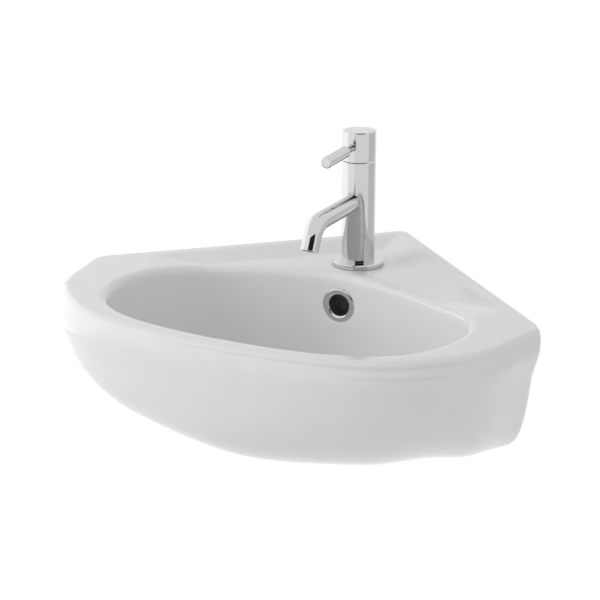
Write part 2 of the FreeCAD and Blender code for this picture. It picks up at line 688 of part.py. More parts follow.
def make_cartridge_base():
    flange_top = CARTRIDGE_SEAT + CARTRIDGE_FLANGE
    inner = CARTRIDGE_R - CARTRIDGE_WALL - SLIP
    plate = rod(CARTRIDGE_R, CARTRIDGE_SEAT, flange_top, TAP_AXIS)
    plate = plate.fuse(rod(inner, CARTRIDGE_SEAT, BASE_TOP, TAP_AXIS))
    return plate.cut(ports(CARTRIDGE_SEAT, BASE_TOP))


def make_cartridge_body():
    inner = CARTRIDGE_R - CARTRIDGE_WALL
    bottom = CARTRIDGE_SEAT + CARTRIDGE_FLANGE
    lip = CARTRIDGE_TOP - CARTRIDGE_LIP
    neck = CARRIER_NECK_R + SLIP
    return turned([
        (inner, bottom), (CARTRIDGE_R, bottom), (CARTRIDGE_R, CARTRIDGE_TOP), (neck, CARTRIDGE_TOP),
        (neck, lip), (inner, lip),
    ], TAP_AXIS)


def make_disc_seal():
    return rod(DISC_SEAL_R, BASE_TOP, FIXED_DISC_BOTTOM, TAP_AXIS).cut(ports(BASE_TOP, FIXED_DISC_BOTTOM))


def make_fixed_disc():
    top = FIXED_DISC_BOTTOM + FIXED_DISC_THICKNESS
    return rod(FIXED_DISC_R, FIXED_DISC_BOTTOM, top, TAP_AXIS).cut(ports(FIXED_DISC_BOTTOM, top))


def make_moving_disc():
    disc = rod(MOVING_DISC_R, MOVING_DISC_BOTTOM, MOVING_DISC_TOP, TAP_AXIS)
    socket = rod(BALL_R + SLIP, BALL_HEIGHT - BALL_R - SLIP, MOVING_DISC_TOP + 1, TAP_AXIS)
    top = MOVING_DISC_BOTTOM + CAVITY_DEPTH
    hollow = rod(CAVITY_R, MOVING_DISC_BOTTOM - 1, top, TAP_AXIS + V(0, CAVITY_BACK, 0))
    return disc.cut(socket).cut(hollow)


def pin_bar(radius, start, end):
    middle = TAP_AXIS + V(0, 0, PIVOT_HEIGHT)
    return Part.makeCylinder(radius, end - start, middle + V(start, 0, 0), X_AXIS)


def make_cartridge_carrier():
    bottom = MOVING_DISC_TOP + CARRIER_GAP
    shoulder = CARTRIDGE_TOP - CARTRIDGE_LIP - SLIP
    body = rod(CARRIER_R, bottom, shoulder, TAP_AXIS)
    body = body.fuse(rod(CARRIER_NECK_R, bottom, CARRIER_TOP, TAP_AXIS))
    half = STEM_HALF + SLIP
    low = TAP_AXIS + V(-half, -CARRIER_SLOT_BACK, bottom - 1)
    high = TAP_AXIS + V(half, CARRIER_SLOT_BACK, CARRIER_TOP + 1)
    return body.cut(block(low, high)).cut(pin_bar(PIN_R, -PIN_LENGTH / 2, CARRIER_R))


def make_stem_pin():
    return pin_bar(PIN_R, -PIN_LENGTH / 2, PIN_LENGTH / 2)


def make_cartridge_stem():
    half = STEM_HALF
    stem = block(TAP_AXIS + V(-half, -half, STEM_SHOULDER), TAP_AXIS + V(half, half, STEM_TOP))
    stem = stem.fuse(rod(STEM_ARM_R, BALL_HEIGHT, STEM_SHOULDER + 1, TAP_AXIS))
    stem = stem.fuse(Part.makeSphere(BALL_R, TAP_AXIS + V(0, 0, BALL_HEIGHT)))
    return stem.cut(pin_bar(PIN_R + SLIP, -FAR, FAR))


def make_cartridge_nut():
    ring_top = CARTRIDGE_TOP + RETAINER_RING
    nut = rod(RETAINER_R, CARTRIDGE_TOP, ring_top, TAP_AXIS)
    nut = nut.fuse(hexagon(RETAINER_FLATS, ring_top, CARTRIDGE_TOP + RETAINER_HEIGHT, TAP_AXIS))
    return nut.cut(rod(RETAINER_BORE_R, CARTRIDGE_TOP - 1, BODY_TOP, TAP_AXIS))


# ---------------------------------------------------------------- tap: lever
def lever_point(distance):
    return TAP_AXIS + V(0, 0, LEVER_HEIGHT) + along(LEVER_FALL) * distance


def make_lever_cap():
    inner = BODY_R - CAP_WALL
    crown = CAP_TOP - CAP_CROWN
    edge = 2 * EDGE_BREAK
    cap = turned([
        (inner, CAP_BOTTOM), (BODY_R, CAP_BOTTOM), (BODY_R, CAP_TOP - edge),
        (BODY_R - 0.3 * edge, CAP_TOP - 0.3 * edge), (BODY_R - edge, CAP_TOP), (0, CAP_TOP),
        (0, CAP_BOSS_BOTTOM), (CAP_BOSS_R, CAP_BOSS_BOTTOM), (CAP_BOSS_R, crown), (inner, crown),
    ], TAP_AXIS)
    half = STEM_HALF + SLIP
    low = TAP_AXIS + V(-half, -half, CAP_BOSS_BOTTOM - 1)
    cap = cap.cut(block(low, TAP_AXIS + V(half, half, STEM_TOP)))
    rise = FAR * math.tan(math.radians(CAP_RELIEF))
    corners = [V(-FAR, 0, CAP_BOTTOM), V(-FAR, FAR, CAP_BOTTOM), V(-FAR, FAR, CAP_BOTTOM + rise)]
    wedge = Part.Face(Part.Wire(Part.makePolygon(corners + corners[:1]))).extrude(V(2 * FAR, 0, 0))
    wedge.translate(TAP_AXIS)
    stub = Part.makeCylinder(LEVER_STUB_R + SLIP, BODY_R, lever_point(0), along(LEVER_FALL))
    neck = Part.makeCylinder(NECK_R + SLIP, FAR, lever_point(LEVER_SHOULDER), along(LEVER_FALL))
    return cap.cut(wedge).cut(stub).cut(neck)


def make_lever_handle():
    edge = 2 * EDGE_BREAK
    handle = turned([
        (0, 0), (LEVER_STUB_R, 0), (LEVER_STUB_R, LEVER_SHOULDER), (NECK_R, LEVER_SHOULDER),
        (NECK_R, NECK_END), (GRIP_R - EDGE_BREAK, NECK_END), (GRIP_R, NECK_END + EDGE_BREAK),
        (GRIP_R, GRIP_END - edge),
        (GRIP_R - 0.3 * edge, GRIP_END - 0.3 * edge), (GRIP_R - edge, GRIP_END), (0, GRIP_END),
    ])
    handle = aimed(handle, lever_point(0), along(LEVER_FALL))
    behind = V(FAR, 0, FAR)
    return handle.cut(block(TAP_AXIS - behind - V(0, STEM_HALF, 0), TAP_AXIS + V(0, FAR, 4 * FAR) + behind))


# ---------------------------------------------------------------- tap: fixing under the deck
def stud_axis():
    return TAP_AXIS + V(0, STUD_OFFSET, 0)


def make_fixing_stud():
    top = STUD_ENGAGEMENT - SPIGOT_DROP
    return rod(STUD_R, top - STUD_LENGTH, top, stud_axis())


def horseshoe(bottom, top):
    """Plate under the deck, open at the front for the inlet tails."""
    plate = rod(GASKET_R, bottom, top, TAP_AXIS)
    half = HORSESHOE_GAP / 2
    low, high = V(0, 0, bottom - 1), V(0, 0, top + 1)
    gap = block(TAP_AXIS + V(-half, -FAR, 0) + low, TAP_AXIS + V(half, HORSESHOE_SLOT_END, 0) + high)
    ahead = block(TAP_AXIS + V(-FAR, -FAR, 0) + low, TAP_AXIS + V(FAR, -HORSESHOE_FRONT, 0) + high)
    return plate.cut(gap).cut(ahead).cut(rod(STUD_R + SLIP, bottom - 1, top + 1, stud_axis()))


def make_horseshoe_gasket():
    return horseshoe(-DECK_THICKNESS - GASKET_THICKNESS, -DECK_THICKNESS)


def make_horseshoe_washer():
    top = -DECK_THICKNESS - GASKET_THICKNESS
    return horseshoe(top - WASHER_THICKNESS, top)


def make_stud_nut():
    top = -DECK_THICKNESS - GASKET_THICKNESS - WASHER_THICKNESS
    nut = hexagon(NUT_FLATS, top - NUT_LENGTH, top, stud_axis())
    return nut.cut(rod(STUD_R + SLIP, top - NUT_LENGTH - 1, top + 1, stud_axis()))


save("basin_body", make_basin_body())
save("overflow_ring", make_overflow_ring())
save("base_seal", make_base_seal())
save("base_flange", make_base_flange())
save("tap_body", make_tap_body())
save("spout", make_spout())
save("aerator_housing", make_aerator_housing())
save("aerator_insert", make_aerator_insert())
save("aerator_seal", make_aerator_seal())
save("cartridge_base", make_cartridge_base())
save("cartridge_body", make_cartridge_body())
save("disc_seal", make_disc_seal())
save("fixed_disc", make_fixed_disc())
save("moving_disc", make_moving_disc())
save("cartridge_carrier", make_cartridge_carrier())
save("stem_pin", make_stem_pin())
save("cartridge_stem", make_cartridge_stem())
save("cartridge_nut", make_cartridge_nut())
save("lever_cap", make_lever_cap())
save("lever_handle", make_lever_handle())
save("fixing_stud", make_fixing_stud())
save("horseshoe_gasket", make_horseshoe_gasket())
save("horseshoe_washer", make_horseshoe_washer())
save("stud_nut", make_stud_nut())
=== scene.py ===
import bpy
import bmesh
import math
from mathutils import Matrix, Vector


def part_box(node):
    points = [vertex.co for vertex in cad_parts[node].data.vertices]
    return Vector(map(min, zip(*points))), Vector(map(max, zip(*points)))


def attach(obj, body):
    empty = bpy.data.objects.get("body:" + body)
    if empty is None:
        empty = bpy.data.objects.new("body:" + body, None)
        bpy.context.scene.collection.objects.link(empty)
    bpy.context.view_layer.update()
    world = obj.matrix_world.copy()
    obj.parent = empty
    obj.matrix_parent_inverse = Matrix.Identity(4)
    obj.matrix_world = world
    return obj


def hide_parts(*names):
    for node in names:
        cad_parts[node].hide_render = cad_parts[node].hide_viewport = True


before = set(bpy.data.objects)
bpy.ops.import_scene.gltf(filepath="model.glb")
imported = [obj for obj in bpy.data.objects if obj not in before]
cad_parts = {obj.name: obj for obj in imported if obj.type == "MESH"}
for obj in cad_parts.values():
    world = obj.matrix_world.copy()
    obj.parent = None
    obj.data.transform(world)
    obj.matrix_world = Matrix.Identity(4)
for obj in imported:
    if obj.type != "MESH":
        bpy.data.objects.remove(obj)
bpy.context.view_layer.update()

# ---------------------------------------------------------------- basin casting
# One slip-cast body of vitreous china, fired with a thick white glaze. The glaze runs a little
# before it sets, so every edge of the casting is soft and its surface is very slightly uneven.


def linear(code):
    """An sRGB colour such as "f4f4f2" as linear red, green, blue and alpha."""
    channels = [int(code[i:i + 2], 16) / 255 for i in (0, 2, 4)]
    return [c / 12.92 if c <= 0.04045 else ((c + 0.055) / 1.055) ** 2.4 for c in channels] + [1.0]


def add_node(tree, kind, inputs=(), **settings):
    """Adds a shader node: settings are its own, inputs are values or sockets by socket name."""
    node = tree.nodes.new("ShaderNode" + kind)
    for name, value in settings.items():
        setattr(node, name, value)
    for name, value in dict(inputs).items():
        if isinstance(value, bpy.types.NodeSocket):
            tree.links.new(value, node.inputs[name])
        else:
            node.inputs[name].default_value = value
    return node


def finish_named(name):
    """A new material with only a surface shader and its output."""
    material = bpy.data.materials.new(name)
    material.use_nodes = True
    tree = material.node_tree
    tree.nodes.clear()
    shader = add_node(tree, "BsdfPrincipled")
    add_node(tree, "OutputMaterial", {"Surface": shader.outputs["BSDF"]})
    return material, tree, shader


# White sanitary glaze over china: deep gloss, IOR of glass, and a faint waviness 25 mm across that
# keeps its reflections from looking machined.
glaze, tree, shader = finish_named("white_sanitary_glaze")
place = add_node(tree, "TexCoord").outputs["Object"]
waves = add_node(tree, "TexNoise", {"Vector": place, "Scale": 40.0, "Detail": 1.0, "Roughness": 0.4})
grain = add_node(tree, "TexNoise", {"Vector": place, "Scale": 900.0, "Detail": 2.0})
tint = add_node(tree, "Mix", {"Factor": waves.outputs["Fac"]}, data_type="RGBA")
tint.inputs["A"].default_value = linear("e6e6e6")
tint.inputs["B"].default_value = linear("e9e9e9")
gloss = add_node(tree, "MapRange", {"Value": grain.outputs["Fac"], "To Min": 0.07, "To Max": 0.11})
bump = add_node(tree, "Bump", {"Height": waves.outputs["Fac"], "Strength": 0.03, "Distance": 0.004})
tree.links.new(tint.outputs["Result"], shader.inputs["Base Color"])
tree.links.new(gloss.outputs["Result"], shader.inputs["Roughness"])
tree.links.new(bump.outputs["Normal"], shader.inputs["Normal"])
shader.inputs["IOR"].default_value = 1.5

GLAZE_GRID, GLAZE_PASSES = 0.0024, 2
CREASE_DEPTH, CREASE_LEVEL = 0.0015, -0.0056
CREASE_ABOVE, CREASE_BELOW = 0.0014, 0.0065
CREASE_STARTS, CREASE_FULL = -0.12, 0.03
BOWL_MIDDLE = Vector((0, -0.23, 0))
# How far from the crease its mesh is refined and moved, in lengths of its slopes, and how a face has
# to look to be on the outer side of the rim: outwards, and not too far to the back.
FINE_REACH, MOVED_REACH = 0.6, 3
LEAST_OUTWARD, MOST_BACKWARD, BACK_FADE = 0.1, 0.3, 0.4


def soft_copy(node, grid, passes):
    """A copy of a solid with its faces joined, re-gridded evenly, and its edges softened."""
    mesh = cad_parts[node].data.copy()
    bm = bmesh.new()
    bm.from_mesh(mesh)
    bmesh.ops.remove_doubles(bm, verts=bm.verts, dist=1e-6)
    bm.to_mesh(mesh)
    bm.free()
    rough = bpy.data.objects.new("rough", mesh)
    bpy.context.scene.collection.objects.link(rough)
    remesh = rough.modifiers.new("grid", "REMESH")
    remesh.mode = "VOXEL"
    remesh.voxel_size = grid
    remesh.use_smooth_shade = True
    smooth = rough.modifiers.new("soften", "SMOOTH")
    smooth.factor = 0.5
    smooth.iterations = passes
    view = bpy.context.evaluated_depsgraph_get()
    done = bpy.data.meshes.new_from_object(rough.evaluated_get(view))
    bpy.data.objects.remove(rough)
    return done


def put(mesh, name, material, body, slot, *nodes):
    """Puts a finished mesh in the scene in place of some solids."""
    mesh.name = name
    mesh.materials.clear()
    mesh.materials.append(material)
    piece = bpy.data.objects.new(name, mesh)
    bpy.context.scene.collection.objects.link(piece)
    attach(piece, body)
    if nodes:
        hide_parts(*nodes)
    return piece


def creased(mesh):
    """Presses the line under the rim's edge: a quick step in, then a slow swell back out below it.

    It runs round the bowed front and dies away towards the left end.
    """
    bm = bmesh.new()
    bm.from_mesh(mesh)
    bm.normal_update()

    def on_rim_side(vert, reach):
        out = vert.co - BOWL_MIDDLE
        out.z = 0
        rise = vert.co.z - CREASE_LEVEL
        return (-reach * CREASE_BELOW < rise < MOVED_REACH * CREASE_ABOVE
                and vert.normal.dot(out.normalized()) > LEAST_OUTWARD and vert.normal.y < MOST_BACKWARD)

    band = {vert for vert in bm.verts if on_rim_side(vert, FINE_REACH)}
    edges = [e for e in bm.edges if e.verts[0] in band and e.verts[1] in band]
    bmesh.ops.subdivide_edges(bm, edges=edges, cuts=2, use_grid_fill=True)
    bm.normal_update()
    moves = []
    for vert in bm.verts:
        if on_rim_side(vert, MOVED_REACH):
            rise = vert.co.z - CREASE_LEVEL
            share = math.exp(-(rise / (CREASE_ABOVE if rise > 0 else CREASE_BELOW)) ** 2)
            share *= min(1.0, (MOST_BACKWARD - vert.normal.y) / BACK_FADE)
            share *= min(1.0, max(0.0, (vert.co.x - CREASE_STARTS) / (CREASE_FULL - CREASE_STARTS)))
            level_normal = Vector((vert.normal.x, vert.normal.y, 0)).normalized()
            moves.append((vert, level_normal * -CREASE_DEPTH * share))
    for vert, move in moves:
        vert.co += move
    bm.to_mesh(mesh)
    bm.free()
    return mesh


china = creased(soft_copy("basin_body", GLAZE_GRID, GLAZE_PASSES))
casting = put(china, "china_casting", glaze, "basin", "glaze", "basin_body")

# The overflow channel behind the ring gets painted shade: a dull dark grey-brown standing in for the deep
# shadow inside the channel, chosen dark enough that the ring looks dark inside.
channel_shade, tree, shader = finish_named("painted_channel_shade")
place = add_node(tree, "TexCoord").outputs["Object"]
shade_mottle = add_node(tree, "TexNoise", {"Vector": place, "Scale": 800.0, "Detail": 3.0})
tint = add_node(tree, "Mix", {"Factor": shade_mottle.outputs["Fac"]}, data_type="RGBA")
# Painted shade: two dark grey-browns, mottled at random.
tint.inputs["A"].default_value = linear("57534d")
tint.inputs["B"].default_value = linear("6b665f")
tree.links.new(tint.outputs["Result"], shader.inputs["Base Color"])
shader.inputs["Roughness"].default_value = 0.85
casting.data.materials.append(channel_shade)
# A box round the channel's walls, with a little to spare.
CHANNEL = (Vector((-0.0135, -0.1460, -0.1380)), Vector((0.0135, -0.1285, -0.0235)))
# Faces inside the channel take the painted shade.
for face in casting.data.polygons:
    if all(low < middle < high for low, middle, high in zip(CHANNEL[0], face.center, CHANNEL[1])):
        face.material_index = 1

# ---------------------------------------------------------------- overflow ring
# A turned brass ring, polished and chromed, pushed into the overflow hole; its rounded flange
# lies flat on the back wall of the bowl.
chrome, tree, shader = finish_named("polished_chrome_plate")
place = add_node(tree, "TexCoord").outputs["Object"]
buff = add_node(tree, "TexNoise", {"Vector": place, "Scale": 700.0, "Detail": 3.0})
gloss = add_node(tree, "MapRange", {"Value": buff.outputs["Fac"], "To Min": 0.035, "To Max": 0.075})
tree.links.new(gloss.outputs["Result"], shader.inputs["Roughness"])
shader.inputs["Base Color"].default_value = linear("cbcccd")
shader.inputs["Metallic"].default_value = 1.0


HOLD, LONG_RUN = 0.3, 2
SHARP = 0.6


def lathe(profile, closed=True, steps=96):
    """A solid turned about Z from radius and height pairs in millimetres.

    A point near each end of a long run keeps the run straight where its corner is rounded.
    """
    bm = bmesh.new()
    ring = []
    for here, there in zip(profile, profile[1:] + profile[:1]):
        start, run = Vector(here), Vector(there) - Vector(here)
        stops = [0.0, HOLD / run.length, 1 - HOLD / run.length] if run.length > LONG_RUN else [0.0]
        if here is profile[-1] and not closed:
            stops = [0.0]
        for stop in stops:
            r, z = start + run * stop
            ring.append(bm.verts.new((r / 1000, 0, z / 1000)))
    pairs = list(zip(ring, ring[1:]))
    if closed:
        pairs.append((ring[-1], ring[0]))
    edges = [bm.edges.new(pair) for pair in pairs]
    bmesh.ops.spin(bm, geom=ring + edges, cent=(0, 0, 0), axis=(0, 0, 1), angle=2 * math.pi,
                   steps=steps, use_merge=True)
    bmesh.ops.remove_doubles(bm, verts=bm.verts, dist=1e-6)
    bmesh.ops.recalc_face_normals(bm, faces=bm.faces)
    return bm


def soften(bm, width):
    """Rounds each sharp edge, to a width in millimetres."""
    sharp = [e for e in bm.edges if len(e.link_faces) == 2 and e.calc_face_angle() > SHARP]
    bmesh.ops.bevel(bm, geom=sharp, offset=width / 1000, offset_type="OFFSET", affect="EDGES",
                    segments=3, profile=0.5, material=-1)
    return bm


def aimed(bm, at, axis):
    """Turns a shape from the Z axis to another, and moves its origin to a place in millimetres."""
    turn = Vector((0, 0, 1)).rotation_difference(Vector(axis)).to_matrix().to_4x4()
    bmesh.ops.transform(bm, matrix=Matrix.Translation(Vector(at) / 1000) @ turn, verts=bm.verts)
    return bm


def as_mesh(bm):
    """The finished mesh, shaded smooth except at its sharp edges."""
    for face in bm.faces:
        face.smooth = True
    for edge in bm.edges:
        edge.smooth = len(edge.link_faces) != 2 or edge.calc_face_angle() < SHARP
    mesh = bpy.data.meshes.new("piece")
    bm.to_mesh(mesh)
    bm.free()
    return mesh


RING_PROUD, RING_LEVEL, RING_EDGE = 2.4, -36.5, 0.25
ring_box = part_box("overflow_ring")
ring_seat = ring_box[0][1] * 1000 + RING_PROUD
ring = lathe([(10.3, -9), (11.4, -9), (11.4, 0), (16.5, 0), (16.5, 1.3), (15.6, 2.2),
              (14.8, RING_PROUD), (12.4, 2.2), (10.9, 1.6), (10.3, 0.8)])
aimed(soften(ring, RING_EDGE), (0, ring_seat, RING_LEVEL), (0, -1, 0))
put(as_mesh(ring), "overflow_ring_chrome", chrome, "basin", "chrome", "overflow_ring")

# ---------------------------------------------------------------- tap base
# A chromed brass flange drawn down on a black rubber seal by the tap's body.
TAP = Vector((0, -107.8, -6.4))
FLANGE_EDGE = 0.2
flange = lathe([(14.05, 0.3), (18.55, 0.3), (18.55, 1.5), (22.65, 1.5), (22.65, 0.3), (24.7, 0.3),
                (24.7, 3.9), (23.9, 4.7), (23.2, 4.9), (15.65, 4.9), (15.65, 2.2), (14.05, 2.2)])
aimed(soften(flange, FLANGE_EDGE), TAP, (0, 0, 1))
put(as_mesh(flange), "tap_flange", chrome, "basin", "chrome", "base_flange")

rubber, tree, shader = finish_named("moulded_black_rubber")
place = add_node(tree, "TexCoord").outputs["Object"]
skin = add_node(tree, "TexNoise", {"Vector": place, "Scale": 1500.0, "Detail": 2.0})
bump = add_node(tree, "Bump", {"Height": skin.outputs["Fac"], "Strength": 0.2, "Distance": 0.0002})
tree.links.new(bump.outputs["Normal"], shader.inputs["Normal"])
shader.inputs["Base Color"].default_value = linear("1c1c1d")
shader.inputs["Roughness"].default_value = 0.7


def dress(material, *nodes):
    """Gives solids that keep their own shape their finish."""
    for node in nodes:
        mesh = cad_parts[node].data
        mesh.materials.clear()
        mesh.materials.append(material)


dress(rubber, "base_seal")

# ---------------------------------------------------------------- tap body
# A turned and drilled brass body, polished and chromed, with its cartridge pocket at the top and
# the two inlets and the fixing stud's hole in its spigot below the deck.


def solid_object(bm, name="cutter"):
    """An object that lasts only while its shape cuts or is cut."""
    made = bpy.data.objects.new(name, as_mesh(bm))
    bpy.context.scene.collection.objects.link(made)
    return made


def drill(radius, depth, start, way):
    """A round cutter, from a start in millimetres along a direction."""
    bm = bmesh.new()
    bmesh.ops.create_cone(bm, cap_ends=True, segments=48, radius1=radius / 1000, radius2=radius / 1000,
                          depth=depth / 1000)
    bmesh.ops.translate(bm, vec=(0, 0, depth / 2000), verts=bm.verts)
    return aimed(bm, start, way)


def cut_away(bm, cutters):
    """The mesh of a shape with cutters taken out of it."""
    whole = solid_object(bm, "whole")
    tools = [solid_object(cutter) for cutter in cutters]
    for tool in tools:
        cut = whole.modifiers.new("cut", "BOOLEAN")
        cut.object = tool
        cut.solver = "EXACT"
    view = bpy.context.evaluated_depsgraph_get()
    result = bmesh.new()
    result.from_mesh(bpy.data.meshes.new_from_object(whole.evaluated_get(view)))
    for spare in [whole] + tools:
        bpy.data.objects.remove(spare)
    return as_mesh(result)


BODY_STEPS = 128
HOLE_START, HOLE_DEPTH = -9, 13
INLET_R, INLET_SIDE, INLET_FORWARD = 5, 7.5, 2.5
STUD_HOLE_R, STUD_BACK = 4.05, 9
body = lathe([(0, -8), (14, -8), (14, 2.2), (15.6, 2.2), (15.6, 100.1), (15.3, 100.4), (13.95, 100.4),
              (13.95, 93), (12.5, 93), (12.5, 74), (0, 74)], closed=False, steps=BODY_STEPS)
aimed(body, TAP, (0, 0, 1))
holes = [drill(INLET_R, HOLE_DEPTH, TAP + Vector((x, -INLET_FORWARD, HOLE_START)), (0, 0, 1))
         for x in (-INLET_SIDE, INLET_SIDE)]
holes.append(drill(STUD_HOLE_R, HOLE_DEPTH, TAP + Vector((0, STUD_BACK, HOLE_START)), (0, 0, 1)))
put(cut_away(body, holes), "tap_body_chrome", chrome, "basin", "chrome", "tap_body")

# ---------------------------------------------------------------- spout
# A thick brass tube, bent over a former, polished and chromed, screwed into the body. Its end is
# bored out for the aerator.
SPOUT_FALL, SPOUT_HEIGHT = math.radians(2), 63.4
SPOUT_STRAIGHT, SPOUT_BEND, SPOUT_R, SPOUT_END, SPOUT_ROOT = 76.0, 22.3, 8.2, 11.0, 8.0
LIP_EDGE, LIP_WALL, AERATOR_DEPTH = 0.0003, 0.00125, 10.8
spout_way = Vector((0, -math.cos(SPOUT_FALL), -math.sin(SPOUT_FALL)))
spout_start = TAP + Vector((0, 0, SPOUT_HEIGHT))
spout = bmesh.new()
bmesh.ops.create_circle(spout, segments=64, radius=SPOUT_R / 1000, cap_ends=True)
aimed(spout, spout_start + spout_way * SPOUT_ROOT, spout_way)


def drawn(bm, face, vector):
    """Extrudes a face by a vector in millimetres and returns the new end face."""
    made = bmesh.ops.extrude_discrete_faces(bm, faces=[face])["faces"][0]
    bmesh.ops.translate(bm, vec=Vector(vector) / 1000, verts=made.verts)
    return made


end = spout.faces[:][0]
if end.normal.dot(spout_way) < 0:
    bmesh.ops.reverse_faces(spout, faces=[end])
end = drawn(spout, end, spout_way * (SPOUT_STRAIGHT - SPOUT_ROOT))
down = Vector((0, -spout_way.z, spout_way.y))
centre = (spout_start + spout_way * SPOUT_STRAIGHT + down * SPOUT_BEND) / 1000
SWEEP = math.radians(63)
bend = bmesh.ops.spin(spout, geom=[end], cent=centre, axis=(1, 0, 0), angle=SWEEP, steps=24)
end = [g for g in bend["geom_last"] if isinstance(g, bmesh.types.BMFace)][0]
way_out = Matrix.Rotation(SWEEP, 3, "X") @ spout_way
end = drawn(spout, end, way_out * SPOUT_END)
bmesh.ops.inset_individual(spout, faces=[end], thickness=LIP_EDGE)
bmesh.ops.inset_individual(spout, faces=[end], thickness=LIP_WALL)
end = drawn(spout, end, way_out * -AERATOR_DEPTH)
bmesh.ops.remove_doubles(spout, verts=spout.verts, dist=1e-6)
bmesh.ops.recalc_face_normals(spout, faces=spout.faces)
put(as_mesh(spout), "spout_chrome", chrome, "basin", "chrome", "spout")
dress(chrome, "aerator_housing")

# ---------------------------------------------------------------- cartridge and aerator insides
# Moulded acetal housings, two lapped alumina discs that slide on each other, a square brass stem on
# a stainless pin, rubber seals, and a brass nut that holds the lot down in the body.
acetal, tree, shader = finish_named("white_acetal_moulding")
place = add_node(tree, "TexCoord").outputs["Object"]
# The mould was spark eroded: an even fine grain that keeps the plastic from shining.
spark = add_node(tree, "TexNoise", {"Vector": place, "Scale": 2000.0, "Detail": 1.0})
bump = add_node(tree, "Bump", {"Height": spark.outputs["Fac"], "Strength": 0.15, "Distance": 0.0001})
tree.links.new(bump.outputs["Normal"], shader.inputs["Normal"])
shader.inputs["Base Color"].default_value = linear("e6e5df")
shader.inputs["Roughness"].default_value = 0.4
shader.inputs["IOR"].default_value = 1.48
dress(acetal, "aerator_insert", "cartridge_base", "cartridge_body", "cartridge_carrier")

alumina, tree, shader = finish_named("lapped_alumina")
place = add_node(tree, "TexCoord").outputs["Object"]
# Sintered white oxide, lapped flat: cream, dense and satin, with a slight cloudiness.
cloud = add_node(tree, "TexNoise", {"Vector": place, "Scale": 600.0, "Detail": 3.0})
tint = add_node(tree, "Mix", {"Factor": cloud.outputs["Fac"]}, data_type="RGBA")
tint.inputs["A"].default_value = linear("e9e4d8")
tint.inputs["B"].default_value = linear("f1ede3")
tree.links.new(tint.outputs["Result"], shader.inputs["Base Color"])
shader.inputs["Roughness"].default_value = 0.22
shader.inputs["IOR"].default_value = 1.76
dress(alumina, "fixed_disc", "moving_disc")

brass, tree, shader = finish_named("machined_brass")
place = add_node(tree, "TexCoord").outputs["Object"]
# Turning leaves rings about 0.15 mm apart round each part's own upright axis; they are drawn twice
# as coarse so that they show.
turning = add_node(tree, "TexWave", {"Vector": place, "Scale": 500.0, "Distortion": 0.6},
                   wave_type="BANDS", bands_direction="Z")
gloss = add_node(tree, "MapRange", {"Value": turning.outputs["Fac"], "To Min": 0.18, "To Max": 0.34})
tree.links.new(gloss.outputs["Result"], shader.inputs["Roughness"])
shader.inputs["Base Color"].default_value = linear("d9b872")
shader.inputs["Metallic"].default_value = 1.0
dress(brass, "cartridge_stem", "cartridge_nut", "fixing_stud", "stud_nut")

steel, tree, shader = finish_named("rolled_stainless_steel")
place = add_node(tree, "TexCoord").outputs["Object"]
# Cold rolling draws long fine streaks along the strip that it was stamped from.
along = add_node(tree, "Mapping", {"Vector": place, "Scale": (1.0, 0.05, 1.0)})
streak = add_node(tree, "TexNoise", {"Vector": along.outputs["Vector"], "Scale": 1800.0, "Detail": 2.0})
gloss = add_node(tree, "MapRange", {"Value": streak.outputs["Fac"], "To Min": 0.22, "To Max": 0.4})
tree.links.new(gloss.outputs["Result"], shader.inputs["Roughness"])
shader.inputs["Base Color"].default_value = linear("c4c5c6")
shader.inputs["Metallic"].default_value = 1.0
dress(steel, "stem_pin", "horseshoe_washer")
dress(rubber, "aerator_seal", "disc_seal", "horseshoe_gasket")

# ---------------------------------------------------------------- lever cap
# A chromed brass cap over the cartridge. The back of its lower edge is cut away at a slope, which
# gives it room to tip back when the lever is lifted.
CAP_FOOT, CAP_RELIEF, RELIEF_BLOCK = 101.2, math.radians(21), 0.08
LEVER_AXIS, LEVER_FALL = TAP + Vector((0, 0, 116.3)), math.radians(4)
NECK_START, NECK_END, NECK_HOLE_R = 8.6, 30, 3.35
lever_way = Vector((0, -math.cos(LEVER_FALL), -math.sin(LEVER_FALL)))
cap = lathe([(0, 120), (4.3, 120), (4.3, 108), (7, 108), (7, 125.6), (13.2, 125.6), (13.2, CAP_FOOT),
             (15.6, CAP_FOOT), (15.6, 128.1), (15.3, 128.8), (14.6, 129.1), (0, 129.1)],
            closed=False, steps=BODY_STEPS)
aimed(cap, TAP, (0, 0, 1))
relief = bmesh.new()
bmesh.ops.create_cube(relief, size=RELIEF_BLOCK)
bmesh.ops.translate(relief, vec=(0, 0, -RELIEF_BLOCK / 2), verts=relief.verts)
bmesh.ops.rotate(relief, cent=(0, 0, 0), matrix=Matrix.Rotation(CAP_RELIEF, 3, "X"),
                 verts=relief.verts)
bmesh.ops.translate(relief, vec=(TAP + Vector((0, 0, CAP_FOOT))) / 1000, verts=relief.verts)
neck_hole = drill(NECK_HOLE_R, NECK_END, LEVER_AXIS + lever_way * NECK_START, lever_way)
capped = cut_away(cap, [relief, neck_hole])
put(capped, "lever_cap_chrome", chrome, "lever", "chrome", "lever_cap")

# ---------------------------------------------------------------- lever
# A turned and chromed pin: a thin neck screwed through the cap into the stem, and a thicker grip.
lever = lathe([(0, 3), (2.5, 3), (2.5, NECK_START), (3.3, NECK_START), (3.3, NECK_END), (4.9, NECK_END),
               (5.4, 30.5), (5.4, 67.4), (5.1, 68.1), (4.4, 68.4), (0, 68.4)], closed=False)
aimed(lever, LEVER_AXIS, lever_way)
put(as_mesh(lever), "lever_pin", chrome, "lever", "chrome", "lever_handle")

